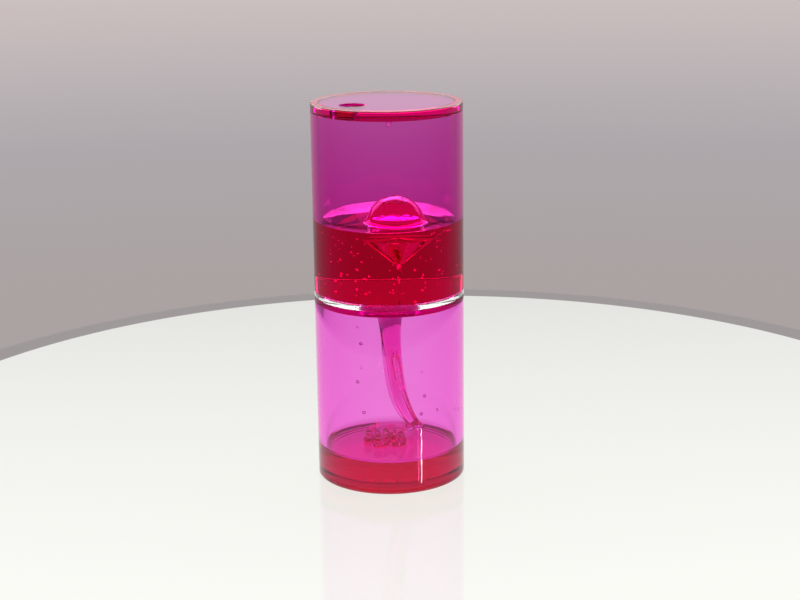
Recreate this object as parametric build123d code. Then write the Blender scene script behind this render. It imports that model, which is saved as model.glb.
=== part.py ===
import math
import os

from build123d import *

# Liquid motion timer: two tinted acrylic tubes, end to end, and the gel that runs from one to the other.
# Millimetres, +Z up. The timer stands on z = 0 with its axis on Z, and its front faces -Y.

# Case
tube_diameter = 60.0            # outside of both tubes
tube_wall = 3.2
tube_length = 75.3              # each tube
rim_round = 0.8                 # polished round on the two outer rims
disc_thickness = 4.0            # top and base discs, set flush in the tubes
cement_line = 0.05              # film of cement round each disc
divider_thickness = 2.0         # clear plate between the tubes
ceiling_thickness = 3.0         # tinted disc under the plate
orifice_diameter = 18.0         # one hole through the plate and the disc

# Filling hole and its plug, in the top disc
plug_diameter = 10.4
plug_draft = 0.25               # the plug's radius shrinks by this towards its lower end
plug_sink = 0.4                 # rim of the plug below the disc's face
plug_dish = 0.6                 # depth of the hollow in the plug's face
plug_fit = 0.05
plug_x = -13.2
plug_y = -10.0

# Gel at rest
wall_film = 0.1                 # clearance between gel and acrylic
upper_depth = 27.7
pool_depth = 8.1
meniscus_rise = 1.2             # how far the gel climbs the wall
meniscus_width = 2.6
seat_gap = 0.1                  # under the pieces that ride on the gel's two surfaces

# Bubble that rises through the upper gel
bubble_x = 2.9
bubble_radius = 11.9
bubble_height = 10.0            # of the dome, above the gel's surface
bubble_skin_thickness = 0.6
cavity_depth = 16.3             # of the funnel of air, below the gel's surface
cavity_swell = 1.0              # outward bulge of the funnel's side
tail_diameter = 1.2             # thread of air below the funnel
tail_floor = 3.4                # from the end of the thread to the plate

# Stream
stream_bearing = 49.0           # the way its foot swings, in degrees from +X
stream_reach = 14.2             # of its foot, from the axis
stream_lean = 4.2               # the share of that reach that builds up slowly
stream_lean_power = 1.6
stream_bend_power = 5.0         # of the rest, which bends the foot
stream_clear = 4.6              # of its foot, above the pool
stream_waist = 7.8              # its diameter below the flare
stream_flare = 0.1              # share of its height over which the flare dies away
stream_stations = 11
stream_crowding = 1.4           # brings the stations closer together near the flare
join_gap = 0.3                  # between the stream and the rope that it becomes

# Rope of gel, laid in two layers of folds
rope_diameter = 2.8
fold_pitch = 3.4                # from strand to strand
layer_pitch = 3.3
fold_rows = 5                   # strands in the lower layer
top_rows = 3                    # strands in the upper layer
fold_half_width = 8.5           # half the length of the middle strand, which lies along Y
heap_x = -2.5
heap_y = -0.5
rope_sides = 12
rope_flat = 0.4                 # depth of the flat where the rope lies on the pool
foot_share = 0.9                # of the run down to the pool, taken up by the bend where the rope lands
climb_radius = 4.0              # bend where the rope starts up to the upper layer
turn_share = 0.49               # of a pitch, the radius of each turn

# Drops
drop_diameter = 1.5
drop_bulge = 0.6                # how far a drop stands off the wall
drop_shoulder_diameter = 0.9
drop_shoulder_rise = 0.45       # of the shoulder, off the wall
drop_places = [                 # share of the lower chamber's height, and bearing in degrees from +X
    (0.744, 121.8),
    (0.840, -114.0),
    (0.477, 118.5),
    (0.609, -117.5),
    (0.428, -112.4),
    (0.448, 58.9),
    (0.517, -61.6),
    (0.226, 40.7),
    (0.363, -20.1),
    (0.411, -64.6),
]
lid_drop_bearing = -88.5
lid_drop_diameter = 2.6
lid_drop_tip = 1.8              # diameter of its round lower end
lid_drop_length = 2.5

# Worked out from the values above
tube_radius = tube_diameter / 2
bore_radius = tube_radius - tube_wall
disc_radius = bore_radius - cement_line
gel_radius = bore_radius - wall_film
orifice_radius = orifice_diameter / 2
neck_radius = orifice_radius - wall_film
divider_top = tube_length + divider_thickness
height = divider_top + tube_length
ceiling_bottom = tube_length - ceiling_thickness
lid_bottom = height - disc_thickness
upper_level = divider_top + upper_depth
pool_level = disc_thickness + pool_depth
rope_radius = rope_diameter / 2
low_layer = pool_level + seat_gap + rope_radius - rope_flat
high_layer = low_layer + layer_pitch
fold_half_span = fold_pitch * fold_rows / 2 + rope_radius
foot_height = pool_level + stream_clear


def cylinder(radius, low, high):
    return Pos(0, 0, low) * extrude(Circle(radius), high - low)


def revolved(*edges):
    return revolve(make_face(Plane.XZ * (Curve() + list(edges))), Axis.Z)


def half_arc(rim, level, dish):
    return SagittaArc((rim, level), (-rim, level), dish).trim(0, 0.5)


def tube(low, rim_at_top):
    shell = cylinder(tube_radius, low, low + tube_length) - cylinder(bore_radius, low, low + tube_length)
    rims = shell.edges().filter_by(GeomType.CIRCLE).group_by(SortBy.RADIUS)[-1].sort_by(Axis.Z)
    return fillet(rims[-1] if rim_at_top else rims[0], rim_round)


def top_disc():
    hole = cylinder(plug_diameter / 2 + plug_fit, lid_bottom, height)
    return cylinder(disc_radius, lid_bottom, height) - Pos(plug_x, plug_y) * hole


def fill_plug():
    top = height - plug_sink
    rim = plug_diameter / 2
    outline = [
        Line((0, lid_bottom), (rim - plug_draft, lid_bottom)),
        Line((rim - plug_draft, lid_bottom), (rim, top)),
        half_arc(rim, top, plug_dish),
        Line((0, top - plug_dish), (0, lid_bottom)),
    ]
    return Pos(plug_x, plug_y) * revolved(*outline)


def pierced_disc(radius, low, high):
    return cylinder(radius, low, high) - cylinder(orifice_radius, low, high)


def gel_body(low, level):
    inner = gel_radius - meniscus_width
    climb = level + meniscus_rise
    return revolved(
        Line((0, low), (gel_radius, low)),
        Line((gel_radius, low), (gel_radius, climb)),
        TangentArc((inner, level), (gel_radius, climb), tangent=(1, 0)),
        Line((inner, level), (0, level)),
        Line((0, level), (0, low)),
    )


def bubble_center():
    return upper_level - (bubble_radius - bubble_height)


def upper_gel():
    inner = bubble_radius - bubble_skin_thickness
    mouth = math.sqrt(inner ** 2 - (upper_level - bubble_center()) ** 2)
    thread = tail_diameter / 2
    tip = upper_level - cavity_depth
    cavity = revolved(
        Line((0, upper_level), (mouth, upper_level)),
        SagittaArc((mouth, upper_level), (thread, tip), cavity_swell),
        Line((thread, tip), (0, divider_top + tail_floor)),
        Line((0, divider_top + tail_floor), (0, upper_level)),
    )
    return gel_body(divider_top, upper_level) - Pos(bubble_x) * cavity


def bubble_skin():
    shell = Sphere(bubble_radius) - Sphere(bubble_radius - bubble_skin_thickness)
    seat = Plane((0, 0, upper_level + seat_gap))
    return split(Pos(bubble_x, 0, bubble_center()) * shell, seat, keep=Keep.TOP)


def stream_point(share):
    lean = stream_lean * share ** stream_lean_power
    reach = lean + (stream_reach - stream_lean) * share ** stream_bend_power
    bearing = math.radians(stream_bearing)
    drop = (ceiling_bottom - foot_height) * share
    return Vector(reach * math.cos(bearing), reach * math.sin(bearing), ceiling_bottom - drop)


def stream_heading(share):
    lean = stream_lean * stream_lean_power * share ** (stream_lean_power - 1)
    bend = (stream_reach - stream_lean) * stream_bend_power * share ** (stream_bend_power - 1)
    swing = lean + bend
    bearing = math.radians(stream_bearing)
    fall = ceiling_bottom - foot_height
    return Vector(swing * math.cos(bearing), swing * math.sin(bearing), -fall).normalized()


def stream_radius(share):
    waist = stream_waist / 2
    shaft = rope_radius + (waist - rope_radius) * (1 - share ** 3)
    return shaft + (neck_radius - waist) * math.exp(-share / stream_flare)


def gel_stream():
    bearing = math.radians(stream_bearing)
    across = (-math.sin(bearing), math.cos(bearing), 0)
    sections = []
    for station in range(stream_stations):
        share = (station / (stream_stations - 1)) ** stream_crowding
        plane = Plane(stream_point(share), x_dir=across, z_dir=stream_heading(share))
        sections.append(plane * Circle(stream_radius(share)))
    return loft(sections)


def row_x(row):
    return heap_x + (row - (fold_rows - 1) / 2) * fold_pitch


def fold_end(row, next_row, side):
    offset = (row_x(row) + row_x(next_row)) / 2 - heap_x
    return heap_y + side * fold_half_width * math.sqrt(1 - (offset / fold_half_span) ** 2)


def fold_route():
    heading = stream_heading(1)
    start = stream_point(1) + heading * join_gap
    run_down = (start.Z - low_layer) / -heading.Z
    landing = start + heading * run_down
    behind = heap_y + fold_half_width + fold_pitch
    entry_row = top_rows - 1
    climb = Vector(row_x(fold_rows - 1), behind, low_layer)
    half_turn = math.radians(heading.get_angle(climb - landing)) / 2
    points = [start, landing, climb, Vector(row_x(entry_row), behind, high_layer)]
    radii = [foot_share * run_down / math.tan(half_turn), climb_radius, turn_share * fold_pitch]
    side = -1
    for row in range(entry_row, 0, -1):
        end = fold_end(row, row - 1, side)
        points += [Vector(row_x(row), end, high_layer), Vector(row_x(row - 1), end, high_layer)]
        radii += [turn_share * fold_pitch] * 2
        side = -side
    end = fold_end(0, 0, side)
    points += [Vector(row_x(0), end, high_layer), Vector(row_x(0), end, low_layer)]
    radii += [turn_share * layer_pitch] * 2
    side = -side
    for row in range(fold_rows - 1):
        end = fold_end(row, row + 1, side)
        points += [Vector(row_x(row), end, low_layer), Vector(row_x(row + 1), end, low_layer)]
        radii += [turn_share * fold_pitch] * 2
        side = -side
    points.append(Vector(row_x(fold_rows - 1), fold_end(fold_rows - 1, fold_rows - 1, side), low_layer))
    return FilletPolyline(*points, radius=radii)


def gel_folds():
    route = fold_route()
    steps = int(route.length * 2)
    places = [route.position_at(step / steps) for step in range(steps + 1)]
    apart = int(math.pi * fold_pitch) + 1
    nearest = min(
        (places[first] - places[second]).length
        for first in range(steps)
        for second in range(first + apart, steps + 1)
    )
    print(f"rope: {route.length:.1f} mm long, least gap to itself {nearest - rope_diameter:.2f} mm")
    outset = Plane(route.position_at(0), z_dir=route.tangent_at(0))
    section = outset * RegularPolygon(rope_radius, rope_sides)
    seat = Plane((0, 0, pool_level + seat_gap))
    return split(sweep(section, route), seat, keep=Keep.TOP)


def wall_drops():
    shoulder = (drop_shoulder_diameter / 2, drop_shoulder_rise)
    drop = revolved(Polyline((0, 0), (drop_diameter / 2, 0), shoulder, (0, drop_bulge), close=True))
    chamber = ceiling_bottom - disc_thickness
    drops = []
    for share, bearing in drop_places:
        level = disc_thickness + share * chamber
        drops.append(Rot(Z=bearing) * Pos(gel_radius, 0, level) * Rot(Y=-90) * drop)
    return Compound(children=drops)


def lid_drop():
    root = lid_drop_diameter / 2
    tip = lid_drop_tip / 2
    shoulder = lid_bottom - lid_drop_length + tip
    outline = [
        Line((0, lid_bottom), (root, lid_bottom)),
        TangentArc((tip, shoulder), (root, lid_bottom), tangent=(0, 1)),
        JernArc((tip, shoulder), (0, -1), tip, -90),
        Line((0, shoulder - tip), (0, lid_bottom)),
    ]
    return Rot(Z=lid_drop_bearing) * Pos(gel_radius - root) * revolved(*outline)


nodes = {
    "upper_tube": tube(divider_top, True),
    "lower_tube": tube(0, False),
    "top_disc": top_disc(),
    "fill_plug": fill_plug(),
    "base_disc": cylinder(disc_radius, 0, disc_thickness),
    "divider_plate": pierced_disc(tube_radius, tube_length, divider_top),
    "orifice_disc": pierced_disc(disc_radius, ceiling_bottom, tube_length),
    "upper_gel": upper_gel(),
    "bubble_skin": bubble_skin(),
    "neck_gel": cylinder(neck_radius, ceiling_bottom, divider_top),
    "gel_stream": gel_stream(),
    "gel_folds": gel_folds(),
    "lower_gel": gel_body(disc_thickness, pool_level),
    "wall_drops": wall_drops(),
    "lid_drop": lid_drop(),
}

os.makedirs("parts", exist_ok=True)
for name, shape in nodes.items():
    export_step(shape, f"parts/{name}.step")
print(f"timer: {tube_diameter:.1f} mm across, {height:.1f} mm tall, {len(nodes)} pieces")
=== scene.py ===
import bpy
import math
import random
from mathutils import Matrix, Vector


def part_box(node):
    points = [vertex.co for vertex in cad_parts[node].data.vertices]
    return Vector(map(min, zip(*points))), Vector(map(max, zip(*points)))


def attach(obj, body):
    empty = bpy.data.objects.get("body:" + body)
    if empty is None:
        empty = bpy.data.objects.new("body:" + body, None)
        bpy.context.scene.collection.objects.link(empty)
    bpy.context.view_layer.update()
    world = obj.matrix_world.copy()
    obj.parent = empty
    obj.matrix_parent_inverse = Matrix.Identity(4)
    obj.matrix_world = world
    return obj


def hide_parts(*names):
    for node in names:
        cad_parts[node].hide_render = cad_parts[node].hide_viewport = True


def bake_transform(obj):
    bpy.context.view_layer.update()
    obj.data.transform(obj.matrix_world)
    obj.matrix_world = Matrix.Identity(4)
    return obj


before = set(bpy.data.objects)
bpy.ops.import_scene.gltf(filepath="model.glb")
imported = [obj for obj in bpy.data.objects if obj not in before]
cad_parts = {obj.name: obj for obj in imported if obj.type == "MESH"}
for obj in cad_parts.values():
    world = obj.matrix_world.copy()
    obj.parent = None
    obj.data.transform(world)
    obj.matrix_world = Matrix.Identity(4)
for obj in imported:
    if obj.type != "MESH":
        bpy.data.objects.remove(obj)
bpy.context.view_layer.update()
mm = 0.001
scene = bpy.context.scene


# Heights and radii that the pieces share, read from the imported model, in mm
def reach(node):
    low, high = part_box(node)
    return high.x / mm, low.z / mm, high.z / mm


tubeRadius, upperFoot, totalHeight = reach("upper_tube")
lowerTop = reach("lower_tube")[2]
lidFoot, lidTop = reach("top_disc")[1:]
baseTop = reach("base_disc")[2]
ceilingFoot = reach("orifice_disc")[1]
plateFoot, plateTop = reach("divider_plate")[1:]
seatGap = 0.1  # between each gel surface and the piece that rides on it
upperLevel = reach("bubble_skin")[1] - seatGap
poolLevel = reach("gel_folds")[1] - seatGap
wall = 3.2
bore = tubeRadius - wall
holeRadius = 9.0  # through the plate and the ceiling disc
wet = 0.05  # two faces this far into each other touch with no air between
sides = 192  # points round a turned piece
tip = 0.3  # smallest ring of a flat cap


def linear(code):
    # sRGB hex to the linear colour that a socket holds
    parts = [int(code[i:i + 2], 16) / 255 for i in (1, 3, 5)]
    return tuple(c / 12.92 if c <= 0.04045 else ((c + 0.055) / 1.055) ** 2.4 for c in parts) + (1,)


def addNode(tree, kind, inputs=None, **settings):
    node = tree.nodes.new(kind)
    for name, value in settings.items():
        setattr(node, name, value)
    for socket, value in (inputs or {}).items():
        if isinstance(value, bpy.types.NodeSocket):
            tree.links.new(value, node.inputs[socket])
        else:
            node.inputs[socket].default_value = value
    return node


def clearMaterial(look):
    # bends light at its faces, takes colour off with depth, and has faint marks on its polish
    material = bpy.data.materials.new(look["name"])
    material.use_nodes = True
    tree = material.node_tree
    shader = tree.nodes["Principled BSDF"]
    shader.inputs["Transmission Weight"].default_value = look.get("clear", 1)
    shader.inputs["IOR"].default_value = look["ior"]
    shader.inputs["Specular IOR Level"].default_value = look.get("gloss", 0.5)
    shader.inputs["Specular Tint"].default_value = linear(look["shine"])
    place = addNode(tree, "ShaderNodeTexCoord")
    if "film" in look:
        low, high, filmed = look["film"]
        level = addNode(tree, "ShaderNodeSeparateXYZ", {"Vector": place.outputs["Object"]})
        thinning = addNode(tree, "ShaderNodeMapRange", {
            "Value": level.outputs["Z"], "From Min": low * mm, "From Max": high * mm})
        face = addNode(tree, "ShaderNodeMix", {
            "Factor": thinning.outputs["Result"], 6: linear(filmed), 7: linear(look["face"])},
            data_type="RGBA")
        tree.links.new(face.outputs[2], shader.inputs["Base Color"])
    else:
        shader.inputs["Base Color"].default_value = linear(look["face"])
    spread = addNode(tree, "ShaderNodeMapping", {
        "Vector": place.outputs["Object"], "Scale": look["stretch"]})
    marks = addNode(tree, "ShaderNodeTexNoise", {
        "Vector": spread.outputs["Vector"], "Scale": 1 / (look["markSize"] * mm), "Detail": 3})
    polish = addNode(tree, "ShaderNodeMapRange", {
        "Value": marks.outputs["Fac"], "From Min": 0.45, "From Max": 0.8,
        "To Min": look["polish"][0], "To Max": look["polish"][1]})
    tree.links.new(polish.outputs["Result"], shader.inputs["Roughness"])
    ripple = addNode(tree, "ShaderNodeBump", {
        "Height": marks.outputs["Fac"], "Strength": look["ripple"], "Distance": 0.1 * mm})
    tree.links.new(ripple.outputs["Normal"], shader.inputs["Normal"])
    tint = addNode(tree, "ShaderNodeVolumeAbsorption", {
        "Color": linear(look["passes"]), "Density": look["density"]})
    tree.links.new(tint.outputs["Volume"], tree.nodes["Material Output"].inputs["Volume"])
    return material


# Cast acrylic dyed pink: takes green out of what is behind it, and glows magenta where light runs along it
tintedAcrylic = clearMaterial({
    "name": "tintedAcrylic", "face": "#ffffff", "shine": "#bcbcbc", "ior": 1.49, "passes": "#fe00f1",
    "density": 240, "markSize": 7, "stretch": (1, 1, 0.15), "polish": (0.0, 0.03), "ripple": 0.03})
# The same acrylic with a film of gel left on its inside, thicker towards the gel
filmedAcrylic = clearMaterial({
    "name": "filmedAcrylic", "face": "#fff2ff", "shine": "#bcbcbc", "ior": 1.49, "passes": "#fe00e4",
    "density": 240, "markSize": 7, "stretch": (1, 1, 0.15), "polish": (0.0, 0.03), "ripple": 0.03,
    "film": (104, 150, "#ffb4f6")})
# The tube's round end: a satin salmon colour painted on as the glow of light that ran up the wall and comes
# out there
rimGlowAcrylic = clearMaterial({
    "name": "rimGlowAcrylic", "face": "#dc7c88", "shine": "#8c5058", "ior": 1.49, "passes": "#fe00f1",
    "density": 240, "markSize": 7, "stretch": (1, 1, 1), "polish": (0.35, 0.5), "ripple": 0.03,
    "clear": 0.4, "gloss": 0})
# The plug's acrylic, a deeper red than the lid's: a dark spot
darkAcrylic = clearMaterial({
    "name": "darkAcrylic", "face": "#c4667c", "shine": "#8c5a64", "ior": 1.49, "passes": "#fe00d0",
    "density": 240, "markSize": 4, "stretch": (1, 1, 1), "polish": (0.0, 0.05), "ripple": 0.03})
# Acrylic sheet dyed red: dark red where it is seen edge on
redAcrylic = clearMaterial({
    "name": "redAcrylic", "face": "#ffffff", "shine": "#bcbcbc", "ior": 1.49, "passes": "#fa00d8",
    "density": 200, "markSize": 6, "stretch": (1, 1, 1), "polish": (0.0, 0.04), "ripple": 0.03})
# Clear acrylic sheet: nearly white edge on, because light from behind runs through it
clearAcrylic = clearMaterial({
    "name": "clearAcrylic", "face": "#ffffff", "shine": "#ffffff", "ior": 1.49, "passes": "#e8f4ee",
    "density": 12, "markSize": 5, "stretch": (1, 1, 1), "polish": (0.0, 0.05), "ripple": 0.03})
# Wet red gel: dark wine red in the mass, hot pink where it is thin
redGel = clearMaterial({
    "name": "redGel", "face": "#ffffff", "shine": "#bcbcbc", "ior": 1.36, "passes": "#fc00dc",
    "density": 190, "markSize": 4, "stretch": (1, 1, 1), "polish": (0.0, 0.01), "ripple": 0.06})


# Modelling steps

def arc(centerRadius, centerHeight, size, first, last, steps):
    # points of a round stretch in a turned outline, angles in degrees from the outward side
    points = []
    for step in range(steps + 1):
        angle = math.radians(first + (last - first) * step / steps)
        points.append((centerRadius + size * math.cos(angle), centerHeight + size * math.sin(angle), 0))
    return points


def held(rings, longest=3, close=0.15):
    # a long stretch gets a ring near each end, so that a round next to it doesn't bend its shading
    kept = [rings[0]]
    for start, end in zip(rings, rings[1:]):
        length = math.dist(start, end)
        if length > longest:
            for share in (close / length, 1 - close / length):
                kept.append(tuple(a + (b - a) * share for a, b in zip(start, end)))
        kept.append(end)
    return kept


def pick(piece):
    # this piece alone is selected, and active
    bpy.ops.object.select_all(action="DESELECT")
    piece.select_set(True)
    bpy.context.view_layer.objects.active = piece


def turned(name, rings, hollow=False, count=sides):
    # one ring of points drawn from step to step, each step (radius, height, sideways shift) in mm
    bpy.ops.object.select_all(action="DESELECT")
    rings = held(rings + rings[:1])[:-1] if hollow else held(rings)
    radius, height, shift = rings[0]
    bpy.ops.mesh.primitive_circle_add(
        vertices=count, radius=radius * mm, fill_type="NOTHING" if hollow else "NGON",
        location=(shift * mm, 0, height * mm))
    piece = bpy.context.object
    piece.name = name
    bpy.ops.object.transform_apply()
    bpy.ops.object.mode_set(mode="EDIT")
    bpy.ops.mesh.select_all(action="SELECT")
    for (radius, height, shift), (nextRadius, nextHeight, nextShift) in zip(rings, rings[1:]):
        step = ((nextShift - shift) * mm, 0, (nextHeight - height) * mm)
        bpy.ops.mesh.extrude_region_move(TRANSFORM_OT_translate={"value": step})
        widen = nextRadius / radius
        bpy.ops.transform.resize(
            value=(widen, widen, 1), center_override=(nextShift * mm, 0, nextHeight * mm))
    if hollow:
        bpy.ops.mesh.select_all(action="DESELECT")
        bpy.ops.mesh.select_non_manifold()
        bpy.ops.mesh.bridge_edge_loops()
    bpy.ops.mesh.select_all(action="SELECT")
    bpy.ops.mesh.normals_make_consistent(inside=False)
    bpy.ops.object.mode_set(mode="OBJECT")
    return piece


def changed(piece, kind, **settings):
    # one modifier, set and applied
    pick(piece)
    change = piece.modifiers.new("change", kind)
    for name, value in settings.items():
        setattr(change, name, value)
    bpy.ops.object.modifier_apply(modifier="change")


def cut(piece, tool, operation):
    changed(piece, "BOOLEAN", operation=operation, solver="MANIFOLD", object=tool)
    bpy.data.objects.remove(tool)


def joined(name, objects):
    pick(objects[0])
    for one in objects:
        one.select_set(True)
    bpy.ops.object.join()
    objects[0].name = name
    return objects[0]


def fused(piece, grain, rounds):
    # strands that overlap run together into one skin
    changed(piece, "REMESH", mode="VOXEL", voxel_size=grain * mm)
    changed(piece, "SMOOTH", factor=0.5, iterations=rounds)


def crumpled(piece, low, high, dents):
    # dents and swellings, given as (size, depth) in mm, between two heights
    size, depth = dents
    group = piece.vertex_groups.new(name="soft")
    spots = [v.index for v in piece.data.vertices if low * mm < v.co.z < high * mm]
    group.add(spots, 1, "REPLACE")
    cloud = bpy.data.textures.new("cloud", "CLOUDS")
    cloud.noise_scale = size * mm
    changed(
        piece, "DISPLACE", texture=cloud, vertex_group="soft", strength=depth * mm, texture_coords="LOCAL")
    piece.vertex_groups.clear()


def turnInside(piece):
    # faces look inwards, for a pocket of air within the gel
    pick(piece)
    bpy.ops.object.mode_set(mode="EDIT")
    bpy.ops.mesh.select_all(action="SELECT")
    bpy.ops.mesh.normals_make_consistent(inside=True)
    bpy.ops.object.mode_set(mode="OBJECT")


def dress(piece, material, angle=35):
    pick(piece)
    bpy.ops.object.shade_smooth_by_angle(angle=math.radians(angle))
    piece.data.materials.clear()
    piece.data.materials.append(material)


# Case: two tubes, lid, plug, base, plate and ceiling disc

case = {
    "rimRound": 0.8, "edgeBreak": 0.2,
    "rimUp": 0.55,  # a face of the round end gets the painted glow if it looks up by this much
    "sharp": 0.03,  # inner edge of a tube, where it meets the plate
    "airGap": 0.03,  # under the plate, over the lower tube and the ceiling disc
    "flush": 0.02,  # lid and base lie this far inside the tubes' ends
    "drill": 20}  # length of the tool that makes a hole


def tubePiece(name, foot, head, roundHead, material):
    size, small, sharp = case["rimRound"], case["edgeBreak"], case["sharp"]
    outerFoot, outerHead = (small, size) if roundHead else (size, small)
    innerFoot, innerHead = (sharp, small) if roundHead else (small, sharp)
    rings = arc(tubeRadius - outerFoot, foot + outerFoot, outerFoot, -90, 0, 5)
    rings += arc(tubeRadius - outerHead, head - outerHead, outerHead, 0, 90, 5)
    rings += arc(bore + innerHead, head - innerHead, innerHead, 90, 180, 2)
    rings += arc(bore + innerFoot, foot + innerFoot, innerFoot, 180, 270, 2)
    piece = turned(name, rings, hollow=True)
    dress(piece, material)
    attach(piece, "case")
    return piece


upperTube = tubePiece("upperTube", upperFoot, totalHeight, True, filmedAcrylic)
# faces of the round end that look up get the salmon painted glow
upperTube.data.materials.append(rimGlowAcrylic)
for face in upperTube.data.polygons:
    if face.center.z > (totalHeight - case["rimRound"]) * mm and face.normal.z > case["rimUp"]:
        face.material_index = 1
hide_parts("upper_tube")
lowerTube = tubePiece("lowerTube", 0, lowerTop - case["airGap"], False, tintedAcrylic)
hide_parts("lower_tube")


def discPiece(name, foot, head, radius, hole, material):
    small = case["edgeBreak"]
    rings = [(radius - small, foot, 0), (radius, foot + small, 0), (radius, head - small, 0)]
    rings += [(radius - small, head, 0)]
    piece = turned(name, rings)
    if hole:
        x, y, size = hole
        bpy.ops.mesh.primitive_cylinder_add(
            vertices=96, radius=size * mm, depth=case["drill"] * mm,
            location=(x * mm, y * mm, (foot + head) / 2 * mm))
        cut(piece, bpy.context.object, "DIFFERENCE")
    dress(piece, material)
    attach(piece, "case")
    return piece


plugLow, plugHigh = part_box("fill_plug")
plug = {
    "x": (plugLow.x + plugHigh.x) / 2 / mm, "y": (plugLow.y + plugHigh.y) / 2 / mm,
    "radius": (plugHigh.x - plugLow.x) / 2 / mm, "foot": plugLow.z / mm, "head": plugHigh.z / mm,
    "draft": 0.25, "lip": 0.5, "lipDrop": 0.1, "hollow": 1.1, "dish": 0.3}
lid = discPiece(
    "lidDisc", lidFoot, lidTop - case["flush"], bore + wet, (plug["x"], plug["y"], plug["radius"] - wet),
    tintedAcrylic)
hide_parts("top_disc")
base = discPiece("baseDisc", case["flush"], baseTop, bore + wet, None, redAcrylic)
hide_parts("base_disc")
ceiling = discPiece(
    "ceilingDisc", ceilingFoot, plateFoot - case["airGap"], bore + wet, (0, 0, holeRadius),
    tintedAcrylic)
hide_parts("orifice_disc")
plate = discPiece(
    "dividerPlate", plateFoot, plateTop + wet, tubeRadius, (0, 0, holeRadius),
    clearAcrylic)
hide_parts("divider_plate")

edge, head, hollow = plug["radius"], plug["head"], plug["head"] - plug["dish"]
rings = [(edge - plug["draft"], plug["foot"], 0), (edge, head - case["edgeBreak"], 0)]
rings += [(edge - case["edgeBreak"], head, 0), (edge - plug["lip"], head - plug["lipDrop"], 0)]
rings += [(edge - plug["hollow"], hollow, 0), (tip, hollow, 0)]
fillPlug = turned("fillPlug", rings, count=96)
fillPlug.data.transform(Matrix.Translation((plug["x"] * mm, plug["y"] * mm, 0)))
dress(fillPlug, darkAcrylic)
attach(fillPlug, "case")
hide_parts("fill_plug")
print("case done")


# Upper gel: the mass over the plate, a bubble's dome, the air cavity under it, and the neck in the hole

gel = {
    "foot": plateTop + 0.08,  # a film of air under the gel makes its foot a mirror
    "neckGap": 0.02,  # and the neck stands this far below the plate's face
    "climb": 1.6, "climbPower": 4, "rings": 23, "ringStep": 0.55, "centred": 8,
    "tilt": 0.9, "tiltFrom": -0.5,  # rise towards the back, and where it starts, from the gel's level
    "seeds": 100, "seedReach": (13, 24), "seedHeight": (79, 102), "seedSize": (0.15, 0.45)}
bubble = {
    "x": 2.9, "radius": 11.9, "center": upperLevel - 1.9, "skin": 0.6, "dents": (6, 0.4), "dentsFrom": 2,
    "apron": ((13.6, 0.12), (12.9, 0.2), (12.4, 0.45), (12.0, 0.9)),  # radius and rise at the dome's foot
    "crownRadius": 5.4, "crownFoot": upperLevel + 7.3, "crownEdge": 0.3,
    "froth": 7.2, "frothLevel": upperLevel + 0.2, "frothHeight": 0.6, "frothDepth": 0.45,
    "frothDents": (2.6, 0.6)}
cavity = {
    "mouth": 10.6, "roof": 5.3, "sink": 6, "roofSteps": 20, "sideSteps": 14, "sidePower": 0.9,
    "foot": 88.7, "dents": (5, 0.4),
    "tailRadius": 0.6, "tail": ((0.5, 86), (0.4, 83), (0.15, 80.7))}  # radius and height
x = bubble["x"]
rings = [(bore + wet, gel["foot"], 0)]
for step in range(gel["rings"]):
    radius = bore + wet - gel["ringStep"] * step
    aside = x * max(0, step - gel["centred"]) / (gel["rings"] - 1 - gel["centred"])
    rings.append((radius, upperLevel + gel["climb"] * (radius / bore) ** gel["climbPower"], aside))
rings += [(radius, upperLevel + rise, x) for radius, rise in bubble["apron"]]
for angle in range(18, 90, 4):
    turn = math.radians(angle)
    radius, rise = bubble["radius"] * math.cos(turn), bubble["radius"] * math.sin(turn)
    rings.append((radius, bubble["center"] + rise, x))
gelMass = turned("upperGel", rings)
crumpled(gelMass, upperLevel + bubble["dentsFrom"], totalHeight, bubble["dents"])
# the gel lies a little higher at the back
for spot in gelMass.data.vertices:
    if spot.co.z > (upperLevel + gel["tiltFrom"]) * mm:
        spot.co.z += gel["tilt"] * spot.co.y / bore

# the cavity's nearly flat roof, its side and the thread of air below it
rings = []
for step in range(cavity["roofSteps"]):
    share = (step + 1) / cavity["roofSteps"]
    drop = (cavity["sink"] - cavity["roof"]) * share
    rings.append((cavity["mouth"] * share, upperLevel - cavity["roof"] - drop, x))
mouthRadius, mouthHeight = rings[-1][:2]
for step in range(1, cavity["sideSteps"] + 1):
    share = step / cavity["sideSteps"]
    height = mouthHeight + (cavity["foot"] - mouthHeight) * share
    narrow = (mouthRadius - cavity["tailRadius"]) * (1 - share) ** cavity["sidePower"]
    rings.append((cavity["tailRadius"] + narrow, height, x))
rings += [(radius, height, x) for radius, height in cavity["tail"]]
funnel = turned("cavity", rings)
crumpled(funnel, cavity["foot"] + 1, mouthHeight, cavity["dents"])
turnInside(funnel)

# a flat pocket of air under the dome's crown, and froth at its foot
inside = bubble["radius"] - bubble["skin"]
floorRadius = bubble["crownRadius"] - bubble["crownEdge"]
rings = [(tip, bubble["crownFoot"], x), (floorRadius, bubble["crownFoot"], x)]
for share in (1, 0.9, 0.75, 0.6, 0.45, 0.3, 0.15, 0.05):
    radius = bubble["crownRadius"] * share
    rings.append((radius, bubble["center"] + math.sqrt(inside ** 2 - radius ** 2), x))
crown = turned("crown", rings, count=96)
turnInside(crown)
rings = []
for angle in range(-84, 90, 6):
    turn = math.radians(angle)
    height = bubble["frothLevel"] + bubble["frothHeight"] * math.sin(turn)
    rings.append((bubble["froth"] * math.cos(turn), height, x))
froth = turned("froth", rings, count=128)
froth.data.transform(Matrix.Diagonal((1, bubble["frothDepth"], 1, 1)))
crumpled(froth, 0, totalHeight, bubble["frothDents"])
turnInside(froth)
neck = turned("neck", [(holeRadius + wet, ceilingFoot, 0), (holeRadius + wet, plateTop - gel["neckGap"], 0)])

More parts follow.
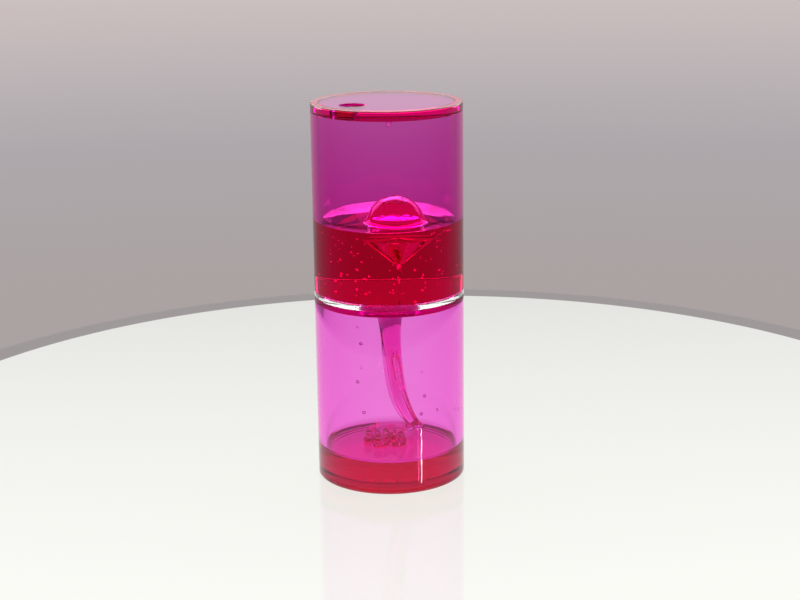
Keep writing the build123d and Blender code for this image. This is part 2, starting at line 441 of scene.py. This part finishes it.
# small bubbles, scattered outside the cavity
random.seed(4)
pockets = [gelMass, neck, funnel, crown, froth]
for seed in range(gel["seeds"]):
    angle, far = random.uniform(0, 2 * math.pi), random.uniform(*gel["seedReach"])
    height, size = random.uniform(*gel["seedHeight"]), random.uniform(*gel["seedSize"])
    bpy.ops.mesh.primitive_uv_sphere_add(
        segments=20, ring_count=10, radius=size * mm,
        location=(far * math.cos(angle) * mm, far * math.sin(angle) * mm, height * mm))
    pocket = bpy.context.object
    bpy.ops.object.transform_apply()
    turnInside(pocket)
    pockets.append(pocket)
upperGel = joined("upperGel", pockets)
dress(upperGel, redGel, 50)
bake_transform(upperGel)
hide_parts("upper_gel", "bubble_skin", "neck_gel")
print("upper gel done")


# Stream: hangs from the hole, necks down, leans and lands on the pool as a rope

stream = {
    "bearing": 49, "reach": 14.2, "lean": 4.2, "leanPower": 1.6, "bendPower": 5, "foot": poolLevel + 4.6,
    "waist": 7.8, "flare": 0.1, "rope": 5.2, "thinPower": 6, "steps": 44, "crowding": 1.3, "end": 1.06,
    "holeGap": 0.1, "twist": 50, "twistAt": 0.7, "deep": 1.5, "partFrom": 0.04, "partOver": 0.4,
    "grain": 0.25, "smooth": 4,
    # bearing, spread and size of each strand
    "strands": ((180, 0.64, 0.4), (262, 0.34, 0.44), (85, 0.5, 0.5), (355, 0.66, 0.38))}
swing = math.radians(stream["bearing"])
toward = Vector((math.cos(swing), math.sin(swing), 0))


def streamPoint(share):
    far = stream["lean"] * share ** stream["leanPower"]
    far += (stream["reach"] - stream["lean"]) * share ** stream["bendPower"]
    return toward * far + Vector((0, 0, ceilingFoot + (stream["foot"] - ceilingFoot) * share))


def streamRadius(share):
    ropeRadius, waist = stream["rope"] / 2, stream["waist"] / 2
    shaft = ropeRadius + (waist - ropeRadius) * (1 - min(1, share) ** stream["thinPower"])
    return shaft + (holeRadius - stream["holeGap"] - waist) * math.exp(-share / stream["flare"])


def drawnRope(name, points, radii):
    # a rope of round section along a smooth line
    bpy.ops.object.select_all(action="DESELECT")
    bpy.ops.curve.primitive_nurbs_path_add(location=(0, 0, 0))
    rope = bpy.context.object
    rope.name = name
    line = rope.data.splines[0]
    line.points.add(len(points) - len(line.points))
    for spot, place, radius in zip(line.points, points, radii):
        spot.co = (*(place * mm), 1)
        spot.radius = radius
    line.order_u = 3
    line.use_endpoint_u = True
    line.resolution_u = 6
    rope.data.bevel_depth = mm
    rope.data.bevel_resolution = 10
    rope.data.use_fill_caps = True
    bpy.ops.object.convert(target="MESH")
    bpy.ops.object.mode_set(mode="EDIT")
    bpy.ops.mesh.select_all(action="SELECT")
    bpy.ops.mesh.remove_doubles(threshold=0.001 * mm)
    bpy.ops.mesh.normals_make_consistent(inside=False)
    bpy.ops.object.mode_set(mode="OBJECT")
    return rope


shares = [
    stream["end"] * (step / stream["steps"]) ** stream["crowding"] for step in range(stream["steps"] + 1)]
strands = []
for bearing, spread, size in stream["strands"]:
    points, radii = [], []
    for share in shares:
        parted = min(1, max(0, share - stream["partFrom"]) / stream["partOver"])
        angle = math.radians(bearing + stream["twist"] * (share - stream["twistAt"]))
        off = Vector((math.cos(angle), math.sin(angle), 0)) * spread * parted
        points.append(streamPoint(share) + off * streamRadius(share))
        radii.append(streamRadius(share) * (1 + (size - 1) * parted))
    strands.append(drawnRope("strand", points, radii))
gelStream = joined("gelStream", strands)
fused(gelStream, stream["grain"], stream["smooth"])
# deeper than wide, most of all half way down
for spot in gelStream.data.vertices:
    share = max(0, (ceilingFoot - spot.co.z / mm) / (ceilingFoot - stream["foot"]))
    axis = streamPoint(share).y * mm
    deepen = 1 + (stream["deep"] - 1) * math.sin(math.pi * min(1, share)) ** 2
    spot.co.y = axis + (spot.co.y - axis) * deepen
dress(gelStream, redGel, 50)
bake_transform(gelStream)
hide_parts("gel_stream")
print("stream done")


# Pool with the rope laid in folds on it

folds = {
    "pitch": 3.4, "layer": 2.2, "rows": 5, "halfWidth": 6.2, "margin": 3.1, "x": -2.5, "y": 0.5,
    "low": poolLevel + 0.6, "rope": 1.3, "uneven": (0.85, 1.2), "wander": (0.8, 1.1, 0.5),
    "landing": ((10.8, 11.8, 0.4), (8.6, 9.2, 0.4), (6.2, 6.8, 0)), "firstY": 4,
    "landingRadii": (2.1, 2, 1.9, 1.8, 1.6, 1.5), "dents": (1.8, 0.7), "dentsTo": 6,
    "grain": 0.22, "smooth": 3}
pooled = {
    "foot": baseTop - 0.25, "flat": 20,
    "climb": 1.5, "climbWidth": 2.45, "climbRadii": (26.5, 26.1, 25.6, 25.0, 24.4)}  # up the wall
last = folds["rows"] - 1
halfSpan = folds["pitch"] * last / 2 + folds["margin"]


def rowX(row):
    return folds["x"] + (row - last / 2) * folds["pitch"]


def foldEnd(row, nextRow, side):
    offset = (rowX(row) + rowX(nextRow)) / 2 - folds["x"]
    return folds["y"] + side * folds["halfWidth"] * math.sqrt(1 - (offset / halfSpan) ** 2)


def halfTurn(side, low, high):
    # rope turns back on itself, from point low to point high
    middle, half = (low + high) / 2, (high - low) / 2
    points = []
    for angle in (-90, -60, -30, 0, 30, 60, 90):
        turn = math.radians(angle)
        bulge = Vector((0, side * half.length * math.cos(turn), 0))
        points.append(middle + half * math.sin(turn) + bulge)
    return points


def along(start, end, count=4):
    return [start.lerp(end, step / count) for step in range(1, count)]


low, high = folds["low"], folds["low"] + folds["layer"]
route = [streamPoint(1), streamPoint(1.05)]
route += [Vector((x, y, high + rise)) for x, y, rise in folds["landing"]]
route += [Vector((rowX(last), folds["firstY"], high))]
turns = [(row, row - 1, high, high) for row in range(last, 0, -1)] + [(0, 0, high, low)]
turns += [(row, row + 1, low, low) for row in range(last)]
side = -1
for row, nextRow, startZ, endZ in turns:
    end = foldEnd(row, nextRow, side)
    bend = halfTurn(side, Vector((rowX(row), end, startZ)), Vector((rowX(nextRow), end, endZ)))
    route += along(route[-1], bend[0]) + bend
    side = -side
end = Vector((rowX(last), foldEnd(last, last, side), low))
route += along(route[-1], end) + [end]
random.seed(7)
landed = len(folds["landingRadii"])
for index in range(landed, len(route)):
    route[index] += Vector([random.uniform(-far, far) for far in folds["wander"]])
thick = [folds["rope"] * random.uniform(*folds["uneven"]) for spot in route]
thick[:landed] = folds["landingRadii"]
rope = drawnRope("rope", route, thick)
fused(rope, folds["grain"], folds["smooth"])
crumpled(rope, 0, poolLevel + folds["dentsTo"], folds["dents"])

rings = [(bore + wet, pooled["foot"], 0)]
for radius in (bore + wet, *pooled["climbRadii"]):
    share = (radius - pooled["climbRadii"][-1]) / pooled["climbWidth"]
    rings.append((radius, poolLevel + pooled["climb"] * share ** 3, 0))
rings.append((pooled["flat"], poolLevel, 0))
pool = turned("pooledGel", rings)
cut(pool, rope, "UNION")
dress(pool, redGel, 50)
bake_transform(pool)
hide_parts("lower_gel", "gel_folds")
print("pool done")


# Drops on the lower wall and under the lid

drops = {
    "radius": 0.68, "bulge": 0.85,
    # height on the wall in mm, and bearing in degrees
    "places": ((54.8, 121.8), (61.4, -114), (36.6, 118.5), (45.6, -117.5), (33.2, -112.4), (34.6, 58.9),
               (39.3, -61.6), (19.4, 40.7), (28.8, -20.1), (32.1, -64.6))}
hanging = {  # radius, and height from the lid's underside
    "outline": ((1.3, wet), (1.2, -0.25), (1.0, -0.7), (0.9, -1.4), (0.75, -2.0), (0.5, -2.35),
                (0.15, -2.5))}
made = []
for height, bearing in drops["places"]:
    rings = [(drops["radius"], 0, 0)]
    for angle in (15, 30, 45, 60, 75, 87):
        turn = math.radians(angle)
        rings.append((drops["radius"] * math.cos(turn), drops["bulge"] * math.sin(turn), 0))
    drop = turned("drop", rings, count=32)
    bpy.ops.object.mode_set(mode="EDIT")
    bpy.ops.mesh.select_all(action="SELECT")
    bpy.ops.transform.rotate(value=math.radians(90), orient_axis="Y", center_override=(0, 0, 0))
    bpy.ops.transform.translate(value=((bore + wet) * mm, 0, height * mm))
    bpy.ops.transform.rotate(value=-math.radians(bearing), orient_axis="Z", center_override=(0, 0, 0))
    bpy.ops.object.mode_set(mode="OBJECT")
    made.append(drop)
wallDrops = joined("wallDrops", made)
dress(wallDrops, redGel, 60)
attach(wallDrops, "case")
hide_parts("wall_drops")

dropLow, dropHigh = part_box("lid_drop")
middle = (dropLow + dropHigh) / 2
rings = [(radius, lidFoot + rise, 0) for radius, rise in hanging["outline"]]
lidDrop = turned("lidDrop", rings, count=48)
lidDrop.data.transform(Matrix.Translation((middle.x, middle.y, 0)))
dress(lidDrop, redGel, 60)
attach(lidDrop, "case")
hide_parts("lid_drop")
print("drops done")


# Stage: white table with a grey rim, a pale backdrop, and panels that each light one or two pieces

table = {
    "x": 12.6, "y": 28.7, "radius": 249, "thick": 8, "drop": 0.05, "rim": 16.5, "rimDrop": 0.6,
    "near": (-150, 0.85), "far": (250, 0.60)}  # where the white's painted glow is brightest and dimmest, and how bright
# Laminate, nearly a mirror: keeps a faint image of the timer, and glows with painted light
white = bpy.data.materials.new("glowingLaminate")
white.use_nodes = True
tree = white.node_tree
shader = tree.nodes["Principled BSDF"]
shader.inputs["Base Color"].default_value = linear("#8a8a88")
shader.inputs["Roughness"].default_value = 0.03
shader.inputs["IOR"].default_value = 1.4
# painted light: the laminate glows white, brighter towards the front and dimmer at the back, so the timer's
# shadow on it is faint
shader.inputs["Emission Color"].default_value = linear("#fbfcf6")
where = addNode(tree, "ShaderNodeTexCoord")
across = addNode(tree, "ShaderNodeSeparateXYZ", {"Vector": where.outputs["Object"]})
paintedGlow = addNode(tree, "ShaderNodeMapRange", {
    "Value": across.outputs["Y"], "From Min": table["near"][0] * mm, "From Max": table["far"][0] * mm,
    "To Min": table["near"][1], "To Max": table["far"][1]})
tree.links.new(paintedGlow.outputs["Result"], shader.inputs["Emission Strength"])
# A grey ring round the table, just under its edge, matt, with a painted glow of its own grey
grey = bpy.data.materials.new("greyRingGlow")
grey.use_nodes = True
shader = grey.node_tree.nodes["Principled BSDF"]
shader.inputs["Base Color"].default_value = linear("#c0b8b9")
shader.inputs["Roughness"].default_value = 0.6
# painted light: the ring glows with its own grey
shader.inputs["Emission Color"].default_value = linear("#c0b8b9")
shader.inputs["Emission Strength"].default_value = 0.35


def tableDisc(name, radius, drop, material):
    bpy.ops.mesh.primitive_cylinder_add(
        vertices=256, radius=radius * mm, depth=table["thick"] * mm,
        location=(table["x"] * mm, table["y"] * mm, (-table["thick"] / 2 - drop) * mm))
    disc = bpy.context.object
    disc.name = name
    disc.data.materials.append(material)


tableDisc("tableTop", table["radius"], table["drop"], white)
tableDisc("tableRim", table["radius"] + table["rim"], table["rimDrop"], grey)

world = bpy.data.worlds.new("room")
scene.world = world
world.use_nodes = True
tree = world.node_tree
place = addNode(tree, "ShaderNodeTexCoord")
way = addNode(tree, "ShaderNodeSeparateXYZ", {"Vector": place.outputs["Generated"]})


def ramped(value, low, high, stops):
    # colours along a value, each stop given as (value, sRGB hex)
    share = addNode(tree, "ShaderNodeMapRange", {"Value": value, "From Min": low, "From Max": high})
    ramp = addNode(tree, "ShaderNodeValToRGB", {"Fac": share.outputs["Result"]})
    for index, (spot, color) in enumerate(stops):
        spot = (spot - low) / (high - low)
        stop = ramp.color_ramp.elements[index] if index < 2 else ramp.color_ramp.elements.new(spot)
        stop.position = spot
        stop.color = linear(color)
    return ramp.outputs["Color"]


# backdrop by height, with a dim band that darkens the gel, and dimmed towards the sides and the front
byHeight = ramped(way.outputs["Z"], -0.4, 0.6, (
    (-0.40, "#a9a2a1"), (-0.24, "#aba3a2"), (-0.165, "#aea8ac"), (-0.12, "#bcb4b6"), (-0.08, "#cabfbe"),
    (0.06, "#e0dedf"), (0.16, "#e0dedf"), (0.188, "#828282"), (0.225, "#828282"), (0.245, "#c8c8c8"),
    (0.36, "#e4e2e3"), (0.5, "#ffffff"), (0.6, "#c8c8c8")))
bySide = ramped(way.outputs["Y"], -1, 1, (
    (-1, "#6a6a6a"), (-0.6, "#6a6a6a"), (0.1, "#8c8c8c"), (0.4, "#c0c0c0"), (0.75, "#e6e6e6"),
    (0.87, "#ffffff"), (1, "#ffffff")))
sky = addNode(
    tree, "ShaderNodeMix", {"Factor": 1, 6: byHeight, 7: bySide}, data_type="RGBA", blend_type="MULTIPLY")
tree.links.new(sky.outputs[2], tree.nodes["Background"].inputs["Color"])

# upright panels that face the front, or are turned from it by so many degrees, place and size in mm
panels = {
    "barBehind": {  # the crescents at the back of the gel
        "place": (0, 450, 414), "size": (1500, 292), "turn": 0, "radiance": 6.2,
        "lit": (upperTube, upperGel)},
    "streakRight": {  # the white line low on the right
        "place": (18.2, -33.3, 11.5), "size": (0.6, 25), "turn": 227, "radiance": 40, "lit": (lowerTube,)},
    "glowLeft": {  # the plate's white edge, but not the neck in the middle of it
        "place": (-83, 118, 79), "size": (138, 197), "turn": 0, "radiance": 0.85, "lit": (plate,)},
    "glowRight": {
        "place": (83, 118, 79), "size": (138, 197), "turn": 0, "radiance": 0.85, "lit": (plate,)}}
for name, panel in panels.items():
    bpy.ops.object.light_add(
        type="AREA", location=Vector(panel["place"]) * mm,
        rotation=(math.radians(-90), 0, math.radians(panel["turn"])))
    light = bpy.context.object
    light.name = name
    light.data.shape = "RECTANGLE"
    light.data.size, light.data.size_y = panel["size"][0] * mm, panel["size"][1] * mm
    light.data.energy = panel["radiance"] * math.pi * light.data.size * light.data.size_y
    light.visible_camera = False
    lit = bpy.data.collections.new(name + "Lit")
    for piece in panel["lit"]:
        lit.objects.link(piece)
    light.light_linking.receiver_collection = lit

shot = {"place": (0, -635.685, 242.442), "turn": (74.9873, 0.7072, -0.5793), "lens": 73.39}
bpy.ops.object.camera_add(
    location=Vector(shot["place"]) * mm, rotation=[math.radians(a) for a in shot["turn"]])
camera = bpy.context.object
camera.data.lens = shot["lens"]
camera.data.sensor_width = 36
camera.data.clip_start = 0.01
scene.camera = camera

scene.view_settings.view_transform = "Standard"
# light passes many faces of gel and acrylic
scene.cycles.max_bounces = 40
scene.cycles.transmission_bounces = 40
scene.cycles.glossy_bounces = 12
scene.cycles.diffuse_bounces = 3
print("stage done")
